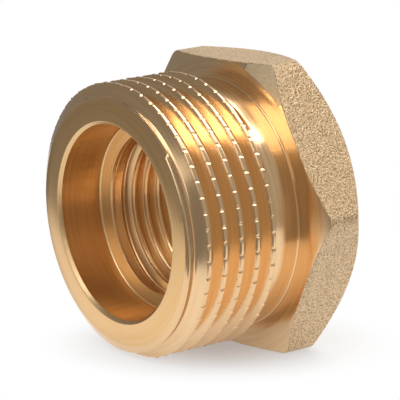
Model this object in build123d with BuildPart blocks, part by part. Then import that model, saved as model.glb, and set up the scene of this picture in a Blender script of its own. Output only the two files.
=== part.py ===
from build123d import *
from math import ceil, radians, tan
import os

# One-piece brass hex bushing for pipe: a parallel male pipe thread outside and a smaller one tapped
# inside. The axis lies along Y, with the male end towards -Y. The origin is on the axis, in the
# plane of the shoulder where the mating fitting stops. +Z is square to the top flat of the hexagon.
# All lengths are in millimetres and all angles in degrees.

# hexagon
across_flats = 35.2
hex_length = 7.2
corner_radius = 1.5
front_cone_start = 17.75        # radius where the flat shoulder turns into the front chamfer
front_cone_angle = 23.5
rear_cone_start = 17.35         # radius where the rear face turns into the rear chamfer
rear_cone_angle = 40.0

# stem
stem_length = 16.1
end_face_radius = 14.77
end_chamfer_length = 1.13
undercut_length = 4.1
undercut_ramp = 0.5
undercut_radius = 15.1
shoulder_fillet = 0.3

# male thread, a parallel pipe thread of nominal size 1
male_crest_radius = 16.6245
male_pitch = 2.309
male_phase = 1.51               # from the end face to the middle of the first groove, at the bottom

# wide bore at the male end
bore_mouth_radius = 11.8
bore_mouth_chamfer = 0.38
bore_depth = 5.8
bore_draft = 2.7
floor_cone_angle = 14.5
floor_corner_radius = 0.25
relief_radius = 9.9
relief_length = 1.7
relief_chamfer = 0.4

# female thread, a parallel pipe thread of nominal size 1/2
female_root_radius = 10.4775
female_pitch = 1.814
female_phase = 0.05             # from the relief's rear end to where the groove starts to fade
tapping_bore_radius = 9.5
mouth_chamfer = 1.2
runout_angle = 18.6             # half angle of the cone on which the last turn fades out

# thread form: 55 degrees between the flanks, and the depth as a share of the pitch
flank_angle = 27.5
depth_share = 0.640327
flank_overrun = 0.1             # how far a groove's flanks run on past the crests
groove_headroom = 0.8           # how far a groove tool reaches past the crests

end_y = -stem_length
rear_y = hex_length
apothem = across_flats / 2
blank_radius = across_flats     # outside everything that the lathe cuts

axial_plane = Plane.YZ
front_start = Plane(origin=(0, 0, 0), x_dir=(1, 0, 0), z_dir=(0, 1, 0))


def groove_section(pitch, root, crest):
    """Section of one thread groove, as (distance out from its root, distance along the axis)."""
    side = 1 if crest > root else -1
    depth = abs(crest - root)
    root_half = pitch / 4 - pitch * depth_share / 2 * tan(radians(flank_angle))
    flank = depth + flank_overrun
    top_half = root_half + flank * tan(radians(flank_angle))
    reach = depth + groove_headroom
    half = [(0, root_half), (side * flank, top_half), (side * reach, top_half)]
    return half + [(out, -width) for out, width in reversed(half)]


def groove_turn(pitch, root, crest, taper=0):
    """Tool for one turn of a right-hand groove, from the bottom at Y = 0 forwards to Y = -pitch."""
    with BuildPart() as tool:
        with BuildLine() as path:
            Helix(
                pitch=pitch,
                height=pitch,
                radius=root,
                center=(0, 0, 0),
                direction=(0, -1, 0),
                cone_angle=-taper,
            )
        with BuildSketch(Plane(origin=path.line @ 0, x_dir=(0, 0, -1), z_dir=(1, 0, 0))):
            with BuildLine():
                Polyline(*groove_section(pitch, root, crest), close=True)
            make_face()
        sweep(path=path.line, is_frenet=True)
    return tool.part


# The male groove starts in the middle of the undercut and runs out past the end face.
male_root_radius = male_crest_radius - male_pitch * depth_share
male_start_y = -undercut_length / 2
male_start_angle = 360 * (male_start_y - (end_y + male_phase)) / male_pitch
male_turns = ceil(stem_length / male_pitch) + 1
male_places = [
    Location((0, male_start_y - turn * male_pitch, 0), (0, male_start_angle, 0))
    for turn in range(male_turns)
]
male_tool = groove_turn(male_pitch, male_root_radius, male_crest_radius)

# Bore of the male end, down to its conical floor and the relief behind that.
bore_floor_y = end_y + bore_depth
bore_floor_radius = bore_mouth_radius - (bore_depth - bore_mouth_chamfer) * tan(radians(bore_draft))
relief_y = bore_floor_y + (bore_floor_radius - relief_radius) * tan(radians(floor_cone_angle))
relief_end_y = relief_y + relief_length

# The female groove starts behind the rear face, and its last turn fades out in the relief.
runout_y = relief_end_y + female_phase
female_turns = ceil((rear_y - runout_y) / female_pitch) + 1
female_places = [
    (0, runout_y + turn * female_pitch, 0)
    for turn in range(1, female_turns + 1)
]
female_tool = groove_turn(female_pitch, female_root_radius, tapping_bore_radius)
runout_tool = groove_turn(female_pitch, female_root_radius, tapping_bore_radius, runout_angle)

# the bushing: hexagon with its lathe-cut ends, stem, bores, then both threads
front_cone_rise = (blank_radius - front_cone_start) * tan(radians(front_cone_angle))
rear_cone_drop = (blank_radius - rear_cone_start) * tan(radians(rear_cone_angle))
with BuildPart() as hex_bushing:
    with BuildSketch(front_start):
        hexagon = RegularPolygon(radius=apothem, side_count=6, major_radius=False)
        fillet(hexagon.vertices(), radius=corner_radius)
    extrude(amount=hex_length)

    with BuildSketch(axial_plane):
        Rectangle(hex_length, blank_radius, align=(Align.MIN, Align.MIN))
        with BuildLine():
            Polyline(
                (0, front_cone_start),
                (front_cone_rise, blank_radius),
                (0, blank_radius),
                close=True,
            )
        make_face(mode=Mode.SUBTRACT)
        with BuildLine():
            Polyline(
                (rear_y, rear_cone_start),
                (rear_y - rear_cone_drop, blank_radius),
                (rear_y, blank_radius),
                close=True,
            )
        make_face(mode=Mode.SUBTRACT)
    revolve(axis=Axis.Y, mode=Mode.INTERSECT)

    with BuildSketch(axial_plane):
        with BuildLine():
            Polyline(
                (rear_y / 2, 0),
                (end_y, 0),
                (end_y, end_face_radius),
                (end_y + end_chamfer_length, male_crest_radius),
                (-undercut_length, male_crest_radius),
                (-undercut_length + undercut_ramp, undercut_radius),
                (-shoulder_fillet, undercut_radius),
            )
            RadiusArc(
                (-shoulder_fillet, undercut_radius),
                (0, undercut_radius + shoulder_fillet),
                shoulder_fillet,
            )
            Polyline(
                (0, undercut_radius + shoulder_fillet),
                (rear_y / 2, undercut_radius + shoulder_fillet),
                (rear_y / 2, 0),
            )
        make_face()
    revolve(axis=Axis.Y)

    with BuildSketch(axial_plane):
        with BuildLine():
            Polyline(
                (end_y, 0),
                (end_y, bore_mouth_radius + bore_mouth_chamfer),
                (end_y + bore_mouth_chamfer, bore_mouth_radius),
                (bore_floor_y, bore_floor_radius),
                (relief_y, relief_radius),
                (relief_end_y, relief_radius),
                (relief_end_y + relief_chamfer, tapping_bore_radius),
                (rear_y - mouth_chamfer, tapping_bore_radius),
                (rear_y, tapping_bore_radius + mouth_chamfer),
                (rear_y, 0),
                close=True,
            )
        make_face()
        floor_corner = vertices().sort_by_distance((bore_floor_y, bore_floor_radius))[0]
        fillet(floor_corner, radius=floor_corner_radius)
    revolve(axis=Axis.Y, mode=Mode.SUBTRACT)

    with Locations(*male_places):
        add(male_tool, mode=Mode.SUBTRACT)
    with Locations(*female_places):
        add(female_tool, mode=Mode.SUBTRACT)
    with Locations((0, runout_y, 0)):
        add(runout_tool, mode=Mode.SUBTRACT)

os.makedirs("parts", exist_ok=True)
hex_bushing.part.label = "hex_bushing"
export_step(hex_bushing.part, "parts/hex_bushing.step")
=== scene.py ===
from math import atan, cos, pi, radians, sin, tan

import bpy
import numpy as np
from mathutils import Matrix, Vector


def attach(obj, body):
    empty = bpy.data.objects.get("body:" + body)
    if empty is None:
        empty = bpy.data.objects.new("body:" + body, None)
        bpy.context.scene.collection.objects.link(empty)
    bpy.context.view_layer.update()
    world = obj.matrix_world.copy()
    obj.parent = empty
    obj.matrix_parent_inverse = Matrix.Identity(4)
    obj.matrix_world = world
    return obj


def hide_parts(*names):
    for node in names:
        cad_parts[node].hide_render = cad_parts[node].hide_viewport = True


# A brass hex bushing that lies on one flat of its hexagon, with its male end dipped to the floor.
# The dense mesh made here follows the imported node's form and adds what that leaves out: rounded
# thread roots and crests, softened edges, the nicks across the male crests, and the surfaces.
# Lengths are in millimetres until the mesh is made. Angles round the axis run from +Z towards +X.

MM = 0.001
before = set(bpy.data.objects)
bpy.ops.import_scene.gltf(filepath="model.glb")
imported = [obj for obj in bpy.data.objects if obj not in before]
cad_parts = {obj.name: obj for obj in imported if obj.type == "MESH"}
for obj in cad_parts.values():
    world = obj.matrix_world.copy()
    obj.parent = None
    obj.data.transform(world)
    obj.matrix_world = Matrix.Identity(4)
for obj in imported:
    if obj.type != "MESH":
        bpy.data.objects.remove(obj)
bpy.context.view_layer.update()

# hexagon
ACROSS_FLATS = 35.2
HEX_LENGTH = 7.2
CORNER_RADIUS = 1.5
FRONT_CONE = (17.75, radians(23.5))
REAR_CONE = (17.35, radians(40.0))
HEX_EDGE = 0.11
REAR_EDGE = 0.09

# forged skin that the tool left on the front cone at one corner; its paler colour is partly the skin's
# own and partly a painted highlight for the glints of light on it
SKIN_GLINT_CORNER = radians(31)
SKIN_GLINT_HALF = radians(12)
# number of the head's strip that is the front cone
CONE_STRIP = 11

# stem
STEM_LENGTH = 16.1
END_FACE_RADIUS = 14.77
END_CHAMFER = 1.13
UNDERCUT_LENGTH = 4.1
UNDERCUT_RAMP = 0.5
UNDERCUT_RADIUS = 15.1
SHOULDER_FILLET = 0.3

# threads
MALE_CREST = 16.6245
MALE_PITCH = 2.309
MALE_PHASE = 1.51
FEMALE_ROOT = 10.4775
FEMALE_PITCH = 1.814
TAPPING_BORE = 9.5
MOUTH_CHAMFER = 1.2
FLANK = radians(27.5)
DEPTH_SHARE = 0.640327
# turns of the female thread that reach past both ends of its bore
FEMALE_TURNS = (-2, 12)
ROOT_ROUNDING = 0.10
CREST_ROUNDING = 0.05

# bore of the male end
BORE_MOUTH = 11.8
BORE_CHAMFER = 0.38
END_FACE_INNER_EDGE = 0.06
MOUTH_EDGE = 0.05
BORE_DEPTH = 5.8
BORE_DRAFT = radians(2.7)
FLOOR_ANGLE = radians(14.5)
FLOOR_ROUNDING = 0.25
RELIEF_RADIUS = 9.9
RELIEF_LENGTH = 1.7
RELIEF_CHAMFER = 0.4
RELIEF_EDGE = 0.04
RUNOUT_ANGLE = radians(18.6)

# nicks across the male crests, so many to a turn; their raised lips lean over the crest's sides
NICKS = 54
NICK_START = radians(5.5)
NICK_HALF = radians(0.86)
NICK_DEPTH = 0.13
NICK_LIP = 0.05
NICK_SPUR = 0.09
SPUR_FROM_CREST = (0.03, 0.16)
CREST_SHARE = 0.88
CREST_BLEND = 0.08
CREST_FADE = 0.2

# columns beside each nick, in half nicks, and the least angle between two columns
NICK_COLUMNS = np.array([-1.0, -0.5, 0.0, 0.5, 1.0, 1.6, 3.2, 4.9])
LEAST_STEP = radians(0.12)

END_Y = -STEM_LENGTH
APOTHEM = ACROSS_FLATS / 2
MALE_ROOT = MALE_CREST - MALE_PITCH * DEPTH_SHARE
BORE_FLOOR_Y = END_Y + BORE_DEPTH
BORE_FLOOR = BORE_MOUTH - (BORE_DEPTH - BORE_CHAMFER) * tan(BORE_DRAFT)
RELIEF_Y = BORE_FLOOR_Y + (BORE_FLOOR - RELIEF_RADIUS) * tan(FLOOR_ANGLE)
RELIEF_END_Y = RELIEF_Y + RELIEF_LENGTH
RUNOUT_Y = RELIEF_END_Y + 0.05


# ---- columns round the axis ----

def column_angles():
    """Angles of the mesh's columns: close together at each nick and at the hexagon's corners."""
    turn = 2 * pi
    steps = NICK_COLUMNS * NICK_HALF
    angles = [NICK_START + turn * n / NICKS + step for n in range(NICKS) for step in steps]
    for corner in range(6):
        middle = turn * (corner + 0.5) / 6
        for step in np.linspace(-1.1, 1.1, 12):
            angles.append(middle + step * corner_half_angle())
    angles = np.sort(np.mod(angles, turn))
    keep = np.concatenate([[True], np.diff(angles) > LEAST_STEP])
    angles = angles[keep]
    return angles[: len(angles) // 2 * 2]


def corner_half_angle():
    """Half the angle that a rounded corner of the hexagon takes up, seen from the axis."""
    return pi / 6 - atan((APOTHEM - CORNER_RADIUS) * tan(pi / 6) / APOTHEM)


def hexagon_reach(angle):
    """Distance from the axis to the rounded hexagon's side."""
    from_flat = np.mod(angle + pi / 6, pi / 3) - pi / 6
    flat = APOTHEM / np.cos(from_flat)
    centre = (APOTHEM - CORNER_RADIUS) / cos(pi / 6)
    from_corner = pi / 6 - np.abs(from_flat)
    arc = centre * np.cos(from_corner)
    arc = arc + np.sqrt(np.maximum(CORNER_RADIUS**2 - (centre * np.sin(from_corner)) ** 2, 0))
    return np.where(from_corner < corner_half_angle(), arc, flat)


# ---- rows along the profile, each (y, r) for every column ----

def bend(corner, before, after, size, steps=3):
    """Points of a rounded corner between two unit directions that lead away from it."""
    rows = []
    for t in np.linspace(0, 1, steps + 1):
        y = corner[0] + size * ((1 - t) ** 2 * before[0] + t**2 * after[0])
        r = corner[1] + size * ((1 - t) ** 2 * before[1] + t**2 * after[1])
        rows.append((y, r))
    return rows


def head_rows(angle):
    """From the rear face's outer edge over the hexagon and the shoulder to the undercut."""
    reach = hexagon_reach(angle)
    flat = np.zeros_like(angle)
    rear_start, rear_angle = REAR_CONE
    front_start, front_angle = FRONT_CONE
    up_rear = (-sin(rear_angle), cos(rear_angle))
    rows = bend((flat + HEX_LENGTH, flat + rear_start), (0, -1), up_rear, REAR_EDGE)
    rear_y = HEX_LENGTH - (reach - rear_start) * tan(rear_angle)
    rows += bend((rear_y, reach), (sin(rear_angle), -cos(rear_angle)), (-1, 0), HEX_EDGE)
    coned = reach > front_start + HEX_EDGE
    front_y = np.where(coned, (reach - front_start) * tan(front_angle), 0)
    down = (np.where(coned, -sin(front_angle), 0), np.where(coned, -cos(front_angle), -1))
    rows += bend((front_y, reach), (1, 0), down, HEX_EDGE)
    rows.append((flat, np.minimum(reach - HEX_EDGE, front_start)))
    rows.append((flat, flat + (front_start + UNDERCUT_RADIUS) / 2))
    fillet_corner = (flat, flat + UNDERCUT_RADIUS)
    rows += bend(fillet_corner, (0, 1), (-1, 0), SHOULDER_FILLET, 5)
    rows.append((flat - UNDERCUT_LENGTH / 2, flat + UNDERCUT_RADIUS))
    return rows


def stem_reach(y):
    """Radius of the stem before the thread is cut."""
    chamfer = END_FACE_RADIUS + (y - END_Y) * (MALE_CREST - END_FACE_RADIUS) / END_CHAMFER
    ramp_end = UNDERCUT_RAMP - UNDERCUT_LENGTH
    ramp = UNDERCUT_RADIUS + (ramp_end - y) * (MALE_CREST - UNDERCUT_RADIUS) / UNDERCUT_RAMP
    ramp = np.maximum(ramp, UNDERCUT_RADIUS)
    return np.minimum(np.minimum(chamfer, MALE_CREST), ramp)


def bore_reach(y):
    """Radius of the tapping bore with its relief and its mouth, before the thread is cut."""
    relief = RELIEF_RADIUS - np.clip(y - RELIEF_END_Y, 0, RELIEF_CHAMFER)
    mouth = TAPPING_BORE + MOUTH_CHAMFER - (HEX_LENGTH - y)
    return np.maximum(np.maximum(relief, TAPPING_BORE), mouth)


def root_half_width(pitch):
    """Half the width of a groove's flat root."""
    return pitch / 4 - pitch * DEPTH_SHARE / 2 * tan(FLANK)


def groove_rise(offset, pitch, depth):
    """Height above the root at a distance from the groove's middle, root and crest rounded."""
    rise = (abs(offset) - root_half_width(pitch)) / tan(FLANK)
    rise = ROOT_ROUNDING * np.logaddexp(0, rise / ROOT_ROUNDING)
    return depth - CREST_ROUNDING * np.logaddexp(0, (depth - rise) / CREST_ROUNDING)


def pitch_offsets(pitch, depth, near_crest):
    """Row offsets over one pitch, from the middle of a groove: root, flank, crest and flank."""
    root_half = root_half_width(pitch)
    crest = root_half + depth * tan(FLANK)
    half = [0.0, root_half * 0.9, root_half * 1.6]
    half += [crest + step for step in near_crest] + [pitch / 2]
    return half + [pitch - value for value in half[-2:0:-1]]


def scatter(count, seed):
    """A value from 0 to 1 for each number in count, the same on every run."""
    return np.mod(np.sin(count * seed) * 437.585, 1)


def nick_shape(angle, turn):
    """(dent, lip) of the nearest nick on a turn of the thread, each as a share of a full one."""
    spacing = 2 * pi / NICKS
    steps = (angle - NICK_START) / spacing
    number = np.rint(steps)
    off = (steps - number) * spacing
    count = number + NICKS * turn
    size = 0.75 + 0.5 * scatter(count, 12.9898)
    rise = 0.3 + 1.4 * scatter(count, 78.233)
    dent = size * np.maximum(0, 1 - np.abs(off) / NICK_HALF)
    lip = rise * np.maximum(0, 1 - np.abs(off - NICK_HALF) / (0.55 * NICK_HALF))
    return dent, lip


GROOVE_AT_TOP = END_Y + MALE_PHASE - MALE_PITCH / 2
MALE_LAST = -UNDERCUT_LENGTH * 0.6


def plain_male_reach(y, angle):
    """Radius of the male thread anywhere, without its nicks."""
    turns = (y - GROOVE_AT_TOP) / MALE_PITCH - angle / (2 * pi)
    from_groove = (turns - np.rint(turns)) * MALE_PITCH
    rise = groove_rise(from_groove, MALE_PITCH, MALE_CREST - MALE_ROOT)
    return np.minimum(stem_reach(y), MALE_ROOT + rise)


def male_normals(y, r, angle):
    """Outward directions of the plain thread, from the slopes along the axis and round it."""
    step = 0.002
    along = plain_male_reach(y + step, angle) - plain_male_reach(y - step, angle)
    turn = step / MALE_CREST
    around = plain_male_reach(y, angle + turn) - plain_male_reach(y, angle - turn)
    along = along / (2 * step)
    around = around / (2 * turn * r)
    x = np.sin(angle) - around * np.cos(angle)
    z = np.cos(angle) + around * np.sin(angle)
    normals = np.stack([x, -along, z], 1)
    return normals / np.linalg.norm(normals, axis=1)[:, None]


def male_rows(angle):
    """Rows (y, r, normals) that follow the male thread from the undercut to the end face."""
    depth = MALE_CREST - MALE_ROOT
    offsets = pitch_offsets(MALE_PITCH, depth, (-0.09, -0.03, 0.01, 0.045))
    advance = MALE_PITCH * angle / (2 * pi)
    turns = int((MALE_LAST - GROOVE_AT_TOP) / MALE_PITCH) + 2
    rows = []
    for turn in range(turns, -3, -1):
        for offset in reversed(offsets):
            y = GROOVE_AT_TOP + turn * MALE_PITCH + offset + advance
            from_groove = offset if offset <= MALE_PITCH / 2 else offset - MALE_PITCH
            height = groove_rise(from_groove, MALE_PITCH, depth)
            full = np.clip(1 - (MALE_CREST - stem_reach(y)) / CREST_FADE, 0, 1)
            above = (height - depth * CREST_SHARE) / (depth * CREST_BLEND)
            crest_mask = full * np.clip(above, 0, 1)
            dent, lip = nick_shape(angle, turn)
            raised = crest_mask * NICK_LIP * lip
            y = np.clip(y, END_Y, MALE_LAST)
            r = plain_male_reach(y, angle)
            normals = male_normals(y, r, angle)
            normals[(crest_mask * (dent + lip) > 0) | (y <= END_Y) | (y >= MALE_LAST)] = 0
            r = r + raised - crest_mask * NICK_DEPTH * dent
            from_crest = MALE_PITCH / 2 - abs(from_groove)
            side = np.sign(from_groove) * (SPUR_FROM_CREST[0] < from_crest < SPUR_FROM_CREST[1])
            y = np.clip(y - side * crest_mask * NICK_SPUR * lip, END_Y, MALE_LAST)
            r = np.where(y >= MALE_LAST, UNDERCUT_RADIUS, r)
            r = np.where(y <= END_Y, END_FACE_RADIUS, r)
            rows.append((y, r, normals))
    return rows


def female_rows(angle):
    """Rows that follow the female thread from the relief to the mouth in the rear face."""
    depth = FEMALE_ROOT - TAPPING_BORE
    offsets = pitch_offsets(FEMALE_PITCH, depth, (-0.04, 0.03))
    first = RELIEF_Y + RELIEF_EDGE
    groove_at_top = RUNOUT_Y - FEMALE_PITCH / 2
    rows = []
    for turn in range(*FEMALE_TURNS):
        for offset in offsets:
            middle = groove_at_top + turn * FEMALE_PITCH + FEMALE_PITCH * angle / (2 * pi)
            y = middle + offset
            from_groove = offset if offset <= FEMALE_PITCH / 2 else offset - FEMALE_PITCH
            own_middle = y - from_groove
            faded = np.maximum(0, RUNOUT_Y - own_middle) * tan(RUNOUT_ANGLE)
            cut = FEMALE_ROOT - faded - groove_rise(from_groove, FEMALE_PITCH, depth)
            y = np.clip(y, first, HEX_LENGTH)
            r = np.maximum(bore_reach(y), cut)
            r = np.where(y <= first, RELIEF_RADIUS, r)
            r = np.where(y >= HEX_LENGTH, TAPPING_BORE + MOUTH_CHAMFER, r)
            rows.append((y, r))
    return rows


def end_rows(angle):
    """From the end face inwards, down the bore and over its floor to the relief."""
    flat = np.zeros_like(angle)
    end = flat + END_Y
    wall = (cos(BORE_DRAFT), -sin(BORE_DRAFT))
    floor_in = (sin(FLOOR_ANGLE), -cos(FLOOR_ANGLE))
    half_turn = (sin(pi / 4), -cos(pi / 4))
    rows = bend((end, flat + BORE_MOUTH + BORE_CHAMFER), (0, 1), half_turn, END_FACE_INNER_EDGE, 2)
    mouth = (end + BORE_CHAMFER, flat + BORE_MOUTH)
    rows += bend(mouth, (-half_turn[0], -half_turn[1]), wall, MOUTH_EDGE, 2)
    for share in (0.25, 0.5, 0.75):
        depth = (BORE_DEPTH - BORE_CHAMFER) * share
        rows.append((end + BORE_CHAMFER + depth, flat + BORE_MOUTH - depth * tan(BORE_DRAFT)))
    corner = (flat + BORE_FLOOR_Y, flat + BORE_FLOOR)
    rows += bend(corner, (-wall[0], -wall[1]), floor_in, FLOOR_ROUNDING, 4)
    relief = (flat + RELIEF_Y, flat + RELIEF_RADIUS)
    rows += bend(relief, (-floor_in[0], -floor_in[1]), (1, 0), RELIEF_EDGE, 2)
    return rows


# ---- the mesh ----

class Shell:
    """Collects strips of quads between rows, then joins the points that coincide."""

    def __init__(self):
        self.points = []
        self.normals = []
        self.count = 0
        self.faces = []
        self.kinds = []

    def row(self, angle, y, r, normals=None):
        """Adds a row. Points whose normal is left out, or zero, get an even one later."""
        points = np.stack([r * np.sin(angle), y + 0 * r, r * np.cos(angle)], 1)
        self.points.append(points)
        self.normals.append(np.zeros_like(points) if normals is None else normals)
        first = self.count
        self.count += len(points)
        return np.arange(first, self.count)

    def strip(self, one, two, kind):
        """Quads between two rows of as many points. A ring's row repeats its first point."""
        quads = np.stack([one[:-1], two[:-1], two[1:], one[1:]], 1)
        self.faces.append(quads)
        self.kinds.append(np.broadcast_to(kind, len(quads)))

    def halve(self, fine, coarse, kind, flip):
        """Three triangles for each pair of steps of the fine ring."""
        a, b, c = fine[0:-2:2], fine[1:-1:2], fine[2::2]
        d, e = coarse[:-1], coarse[1:]
        for corners in ((a, b, d), (b, c, e), (b, e, d)):
            order = corners if flip else corners[::-1]
            faces = np.stack([*order, order[-1]], 1)
            self.faces.append(faces)
            self.kinds.append(np.full(len(faces), kind))

    @staticmethod
    def even_normals(points, faces):
        """Normal of each point, led by the largest faces round it."""
        corners = points[faces]
        areas = np.cross(corners[:, 2] - corners[:, 0], corners[:, 3] - corners[:, 1])
        areas = areas * np.linalg.norm(areas, axis=1)[:, None]
        total = np.zeros_like(points)
        for corner in range(4):
            np.add.at(total, faces[:, corner], areas)
        return total / np.linalg.norm(total, axis=1)[:, None]

    @staticmethod
    def at_crease(points):
        """Which points lie on the edge between the end face and its chamfer."""
        x, y, z = points.T / MM
        return (np.abs(y - END_Y) < 1e-3) & (np.abs(np.hypot(x, z) - END_FACE_RADIUS) < 1e-3)

    def crease(self, mesh, points):
        """Keeps that edge sharp."""
        ends = np.empty(len(mesh.edges) * 2, dtype=np.int64)
        mesh.edges.foreach_get("vertices", ends)
        sharp = self.at_crease(points)[ends.reshape(-1, 2)].all(axis=1)
        layer = mesh.attributes.new("sharp_edge", "BOOLEAN", "EDGE")
        layer.data.foreach_set("value", sharp)

    def build(self, name, materials):
        """The object made of all the strips, in metres, with its materials and normals."""
        points = np.concatenate(self.points)
        faces = np.concatenate(self.faces)
        kinds = np.concatenate(self.kinds)
        grid = np.rint(points * 1e5).astype(np.int64)
        _, first, same = np.unique(grid, axis=0, return_index=True, return_inverse=True)
        same = same.reshape(-1)
        points = points[first] * MM
        faces = same[faces]
        given = np.concatenate(self.normals)[first]
        normals = np.where(given.any(axis=1)[:, None], given, self.even_normals(points, faces))
        normals[self.at_crease(points)] = 0
        polygons = []
        slots = []
        for corners, kind in zip(faces.tolist(), kinds.tolist()):
            outline = [c for i, c in enumerate(corners) if c != corners[i - 1]]
            if len(outline) > 2 and len(set(outline)) == len(outline):
                polygons.append(outline)
                slots.append(kind)
        mesh = bpy.data.meshes.new(name)
        mesh.from_pydata(points.tolist(), [], polygons)
        for material in materials:
            mesh.materials.append(material)
        mesh.polygons.foreach_set("material_index", slots)
        mesh.polygons.foreach_set("use_smooth", [True] * len(polygons))
        mesh.update()
        self.crease(mesh, points)
        mesh.normals_split_custom_set_from_vertices(normals.tolist())
        piece = bpy.data.objects.new(name, mesh)
        bpy.context.scene.collection.objects.link(piece)
        return piece


TURNED, FORGED, CONES, BORE, SKIN_AND_GLINT, END = range(6)


def make_bushing(materials):
    """The whole bushing as one closed mesh."""
    angle = column_angles()
    closed = np.append(angle, angle[0] + 2 * pi)
    coarse = closed[::2]
    shell = Shell()
    head = [shell.row(closed, *row) for row in head_rows(closed)]
    male = [shell.row(closed, *row) for row in male_rows(closed)]
    end = [shell.row(coarse, *row) for row in end_rows(coarse)]
    female = [shell.row(coarse, *row) for row in female_rows(coarse)]
    kinds = [CONES] * 4 + [FORGED] * 7 + [CONES] * 3
    kinds += [TURNED] * (len(head) - 1 - len(kinds))
    # the patch of forged skin, whose paler colour also paints a highlight there
    at_skin_glint = np.abs(closed[:-1] - SKIN_GLINT_CORNER) < SKIN_GLINT_HALF
    for index, (one, two) in enumerate(zip(head, head[1:])):
        kind = kinds[index]
        if index == CONE_STRIP:
            kind = np.where(at_skin_glint, SKIN_AND_GLINT, CONES)
        shell.strip(one, two, kind)
    shell.strip(head[-1], male[0], TURNED)
    for one, two in zip(male, male[1:]):
        shell.strip(one, two, TURNED)
    shell.halve(male[-1], end[0], END, False)
    for one, two in zip(end, end[1:]):
        shell.strip(one, two, BORE)
    shell.strip(end[-1], female[0], BORE)
    for one, two in zip(female, female[1:]):
        shell.strip(one, two, BORE)
    shell.halve(head[0], female[-1], CONES, True)
    return shell.build("bushing", materials)


# ---- materials ----

def new_material(name):
    """(material, nodes, links) of a new material with no nodes."""
    material = bpy.data.materials.new(name)
    material.use_nodes = True
    material.node_tree.nodes.clear()
    return material, material.node_tree.nodes, material.node_tree.links


def brass_surface(nodes, links, colour, roughness):
    """A brass Principled surface, linked to the material's output."""
    out = nodes.new("ShaderNodeOutputMaterial")
    surface = nodes.new("ShaderNodeBsdfPrincipled")
    surface.inputs["Base Color"].default_value = (*colour, 1)
    surface.inputs["Metallic"].default_value = 1
    surface.inputs["Roughness"].default_value = roughness
    links.new(surface.outputs["BSDF"], out.inputs["Surface"])
    return surface


def tint(nodes, links, surface, source, dark, light, low, high):
    """The surface's colour goes from dark to light as source goes from low to high."""
    ramp = nodes.new("ShaderNodeValToRGB")
    ramp.color_ramp.elements[0].position = low
    ramp.color_ramp.elements[0].color = (*dark, 1)
    ramp.color_ramp.elements[1].position = high
    ramp.color_ramp.elements[1].color = (*light, 1)
    links.new(source, ramp.inputs["Fac"])
    links.new(ramp.outputs["Color"], surface.inputs["Base Color"])


def bump(nodes, links, surface, source, height):
    """Raises the surface with source, by up to height in millimetres."""
    node = nodes.new("ShaderNodeBump")
    node.inputs["Distance"].default_value = height * MM
    links.new(source, node.inputs["Height"])
    links.new(node.outputs["Normal"], surface.inputs["Normal"])


def noise(nodes, links, vector, size, detail=2.0, roughness=0.5):
    """Noise whose grains are about size millimetres across."""
    node = nodes.new("ShaderNodeTexNoise")
    node.inputs["Scale"].default_value = 1 / (size * MM)
    node.inputs["Detail"].default_value = detail
    node.inputs["Roughness"].default_value = roughness
    links.new(vector, node.inputs["Vector"])
    return node.outputs["Fac"]


def lathe_vector(nodes, links, stretch):
    """(distance from the axis, place along it, angle round it): tool marks run round the axis."""
    place = nodes.new("ShaderNodeTexCoord")
    split = nodes.new("ShaderNodeSeparateXYZ")
    links.new(place.outputs["Object"], split.inputs["Vector"])
    across = nodes.new("ShaderNodeCombineXYZ")
    links.new(split.outputs["X"], across.inputs["X"])
    links.new(split.outputs["Z"], across.inputs["Z"])
    radius = nodes.new("ShaderNodeVectorMath")
    radius.operation = "LENGTH"
    links.new(across.outputs["Vector"], radius.inputs[0])
    turn = nodes.new("ShaderNodeMath")
    turn.operation = "ARCTAN2"
    links.new(split.outputs["X"], turn.inputs[0])
    links.new(split.outputs["Z"], turn.inputs[1])
    slow = nodes.new("ShaderNodeMath")
    slow.operation = "MULTIPLY"
    slow.inputs[1].default_value = stretch * MM
    links.new(turn.outputs["Value"], slow.inputs[0])
    lathe = nodes.new("ShaderNodeCombineXYZ")
    links.new(radius.outputs["Value"], lathe.inputs["X"])
    links.new(split.outputs["Y"], lathe.inputs["Y"])
    links.new(slow.outputs["Value"], lathe.inputs["Z"])
    return lathe.outputs["Vector"]


def spread(nodes, links, surface, source, low, high):
    """The surface's roughness runs from low to high with source."""
    node = nodes.new("ShaderNodeMapRange")
    node.inputs["From Min"].default_value = 0.3
    node.inputs["From Max"].default_value = 0.7
    node.inputs["To Min"].default_value = low
    node.inputs["To Max"].default_value = high
    links.new(source, node.inputs["Value"])
    links.new(node.outputs["Result"], surface.inputs["Roughness"])


# sizes in millimetres: tool marks, their broader bands, forged pits; and the marks' pull round the axis
MARK_SIZE = 0.11
BAND_SIZE = 0.45
PIT_SIZE = 0.21
MARK_STRETCH = 0.35


def turned_brass(name, dark, light, smooth, rough, ridge):
    """Bright brass off the lathe, with fine tool marks round the axis."""
    material, nodes, links = new_material(name)
    surface = brass_surface(nodes, links, light, smooth)
    lathe = lathe_vector(nodes, links, MARK_STRETCH)
    marks = noise(nodes, links, lathe, MARK_SIZE, 3.0, 0.6)
    broad = noise(nodes, links, lathe, BAND_SIZE)
    bump(nodes, links, surface, marks, ridge)
    spread(nodes, links, surface, broad, smooth, rough)
    tint(nodes, links, surface, broad, dark, light, 0.35, 0.65)
    return material


def forged_brass(name, dark, light, roughness, grain):
    """Brass as forged and blasted: a coarse even grain with darker hollows."""
    material, nodes, links = new_material(name)
    surface = brass_surface(nodes, links, light, roughness)
    place = nodes.new("ShaderNodeTexCoord")
    pits = noise(nodes, links, place.outputs["Object"], PIT_SIZE, 3.0, 0.6)
    bump(nodes, links, surface, pits, grain)
    tint(nodes, links, surface, pits, dark, light, 0.36, 0.56)
    return material
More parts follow.
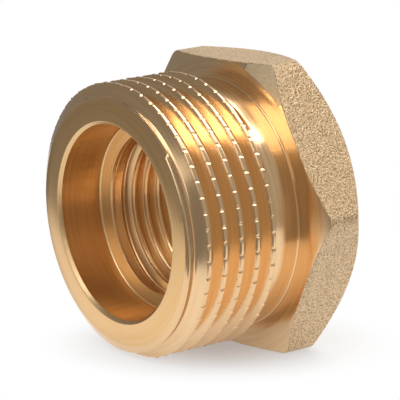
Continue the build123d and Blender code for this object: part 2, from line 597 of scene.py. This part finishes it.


# turned: darker and lighter colour, least and most roughness, height of the marks
# forged: darker and lighter colour, roughness, height of the grain
# in the order of TURNED, FORGED, CONES, BORE, SKIN_AND_GLINT and END
materials = [
    turned_brass("brass_turned", (0.86, 0.56, 0.30), (0.91, 0.63, 0.36), 0.15, 0.23, 0.0016),
    forged_brass("brass_forged", (0.42, 0.26, 0.12), (0.93, 0.68, 0.42), 0.34, 0.24),
    turned_brass("brass_cones", (0.88, 0.61, 0.35), (0.93, 0.68, 0.42), 0.20, 0.28, 0.002),
    turned_brass("brass_bore", (0.78, 0.51, 0.25), (0.84, 0.58, 0.31), 0.28, 0.36, 0.002),
    # skin: paler than the forged flats, partly its own colour and partly a painted highlight for the
    # glints on that patch
    forged_brass("brass_skin_painted_glint", (0.84, 0.66, 0.44), (0.96, 0.82, 0.58), 0.50, 0.06),
    turned_brass("brass_end", (0.85, 0.53, 0.24), (0.90, 0.59, 0.29), 0.26, 0.36, 0.003),
]
bushing = make_bushing(materials)
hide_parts("hex_bushing")
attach(bushing, "root")


# ---- floor, light and camera ----

REST_CREST_Y = END_Y + MALE_PHASE + MALE_PITCH / 2
DIP = atan((APOTHEM - MALE_CREST) / -REST_CREST_Y)
floor_up = Vector((0, sin(DIP), cos(DIP)))
floor_point = Vector((0, 0, -APOTHEM)) * MM


# the camera of the photograph, in degrees turned to radians, and metres
CAMERA_AZIMUTH = radians(55.088)
CAMERA_ELEVATION = radians(12.010)
CAMERA_LEAN = radians(3.162)
CAMERA_DISTANCE = 0.30968
CAMERA_AIM = Vector((-1.640, -2.248, 0.272)) * MM
CAMERA_LENS = 228.85
CAMERA_SENSOR = 36

# the floor board in metres from the bushing, towards the camera and away from it
FLOOR_FRONT = 0.036
FLOOR_BACK = -0.90
FLOOR_HALF_WIDTH = 0.070

# the board turns from pale, where the shadow lies, to white between these distances
FLOOR_GREY = 0.85
WHITE_FROM = 14 * MM
WHITE_AT = 29 * MM
WHITE_LEAST = 0.20

# strength of the grey room on its darker and its lighter side
ROOM_DARK = 0.24
ROOM_LIGHT = 0.45


def lay_floor(material):
    """A white board that the bushing lies on, long in the direction of the photograph's view."""
    tilt = Matrix.Rotation(-DIP, 4, "X")
    along = Vector((sin(CAMERA_AZIMUTH), -cos(CAMERA_AZIMUTH), 0))
    across = Vector((cos(CAMERA_AZIMUTH), sin(CAMERA_AZIMUTH), 0))
    ends = ((FLOOR_BACK, -1), (FLOOR_FRONT, -1), (FLOOR_FRONT, 1), (FLOOR_BACK, 1))
    flat = [along * reach + across * side * FLOOR_HALF_WIDTH for reach, side in ends]
    mesh = bpy.data.meshes.new("floor")
    mesh.from_pydata([tilt @ corner + floor_point for corner in flat], [], [(0, 1, 2, 3)])
    mesh.materials.append(material)
    board = bpy.data.objects.new("floor", mesh)
    bpy.context.scene.collection.objects.link(board)


def background_rays(nodes, links):
    """1 for the rays that show the background: camera, glossy and transmission rays."""
    path = nodes.new("ShaderNodeLightPath")
    first = nodes.new("ShaderNodeMath")
    first.operation = "MAXIMUM"
    links.new(path.outputs["Is Camera Ray"], first.inputs[0])
    links.new(path.outputs["Is Glossy Ray"], first.inputs[1])
    both = nodes.new("ShaderNodeMath")
    both.operation = "MAXIMUM"
    links.new(first.outputs["Value"], both.inputs[0])
    links.new(path.outputs["Is Transmission Ray"], both.inputs[1])
    return both.outputs["Value"]


def make_floor():
    """A white floor that keeps the bushing's soft shadow close to it."""
    material, nodes, links = new_material("floor")
    out = nodes.new("ShaderNodeOutputMaterial")
    pale = nodes.new("ShaderNodeBsdfDiffuse")
    pale.inputs["Color"].default_value = (FLOOR_GREY, FLOOR_GREY, FLOOR_GREY, 1)
    white = nodes.new("ShaderNodeEmission")
    white.inputs["Color"].default_value = (1, 1, 1, 1)
    place = nodes.new("ShaderNodeTexCoord")
    distance = nodes.new("ShaderNodeVectorMath")
    distance.operation = "LENGTH"
    links.new(place.outputs["Object"], distance.inputs[0])
    fade = nodes.new("ShaderNodeMapRange")
    fade.interpolation_type = "SMOOTHSTEP"
    fade.inputs["From Min"].default_value = WHITE_FROM
    fade.inputs["From Max"].default_value = WHITE_AT
    fade.inputs["To Min"].default_value = WHITE_LEAST
    links.new(distance.outputs["Value"], fade.inputs["Value"])
    share = nodes.new("ShaderNodeMath")
    share.operation = "MULTIPLY"
    links.new(fade.outputs["Result"], share.inputs[0])
    links.new(background_rays(nodes, links), share.inputs[1])
    mix = nodes.new("ShaderNodeMixShader")
    links.new(share.outputs["Value"], mix.inputs["Fac"])
    links.new(pale.outputs["BSDF"], mix.inputs[1])
    links.new(white.outputs["Emission"], mix.inputs[2])
    links.new(mix.outputs["Shader"], out.inputs["Surface"])
    lay_floor(material)


def softbox(name, direction, distance, width, height, strength):
    """An area lamp that faces the bushing from a direction. strength is its radiance."""
    light = bpy.data.lights.new(name, "AREA")
    light.shape = "RECTANGLE"
    light.size = width
    light.size_y = height
    light.energy = strength * pi * width * height
    lamp = bpy.data.objects.new(name, light)
    away = Vector(direction).normalized()
    lamp.location = away * distance
    lamp.rotation_mode = "QUATERNION"
    lamp.rotation_quaternion = away.to_track_quat("Z", "Y")
    bpy.context.scene.collection.objects.link(lamp)


def make_world():
    """A grey room, lighter behind the bushing on the right than on the left."""
    world = bpy.data.worlds.new("studio")
    bpy.context.scene.world = world
    world.use_nodes = True
    nodes, links = world.node_tree.nodes, world.node_tree.links
    nodes.clear()
    out = nodes.new("ShaderNodeOutputWorld")
    room = nodes.new("ShaderNodeBackground")
    room.inputs["Color"].default_value = (1.0, 0.98, 0.95, 1)
    place = nodes.new("ShaderNodeTexCoord")
    along = nodes.new("ShaderNodeVectorMath")
    along.operation = "DOT_PRODUCT"
    along.inputs[1].default_value = (0.60, 0.80, 0.0)
    links.new(place.outputs["Generated"], along.inputs[0])
    sides = nodes.new("ShaderNodeMapRange")
    sides.interpolation_type = "SMOOTHSTEP"
    sides.inputs["From Min"].default_value = -0.3
    sides.inputs["From Max"].default_value = 0.7
    sides.inputs["To Min"].default_value = ROOM_DARK
    sides.inputs["To Max"].default_value = ROOM_LIGHT
    links.new(along.outputs["Value"], sides.inputs["Value"])
    links.new(sides.outputs["Result"], room.inputs["Strength"])
    links.new(room.outputs["Background"], out.inputs["Surface"])


def make_camera():
    """The photograph's view: where the camera stands, what it looks at, and how it leans."""
    level = cos(CAMERA_ELEVATION)
    back = Vector((sin(CAMERA_AZIMUTH) * level, -cos(CAMERA_AZIMUTH) * level, sin(CAMERA_ELEVATION)))
    data = bpy.data.cameras.new("camera")
    data.sensor_width = CAMERA_SENSOR
    data.lens = CAMERA_LENS
    data.clip_start = 0.01
    data.clip_end = 10
    camera = bpy.data.objects.new("camera", data)
    camera.rotation_mode = "QUATERNION"
    turn = back.to_track_quat("Z", "Y").to_matrix() @ Matrix.Rotation(-CAMERA_LEAN, 3, "Z")
    camera.location = CAMERA_AIM + back * CAMERA_DISTANCE
    camera.rotation_quaternion = turn.to_quaternion()
    bpy.context.scene.collection.objects.link(camera)
    bpy.context.scene.camera = camera


make_floor()
make_world()
# each lamp: direction from the bushing, distance and size in metres, radiance
softbox("key", (0.04, 0.48, 0.87), 0.6, 0.44, 0.32, 4.6)
softbox("over", (0.20, -0.56, 0.80), 0.6, 0.48, 0.26, 2.2)
softbox("left", (-0.80, 0.50, 0.35), 0.7, 0.4, 0.4, 0.3)
softbox("front", (0.25, -0.90, 0.45), 0.7, 0.5, 0.4, 0.8)
make_camera()
bpy.context.scene.view_settings.view_transform = "Standard"
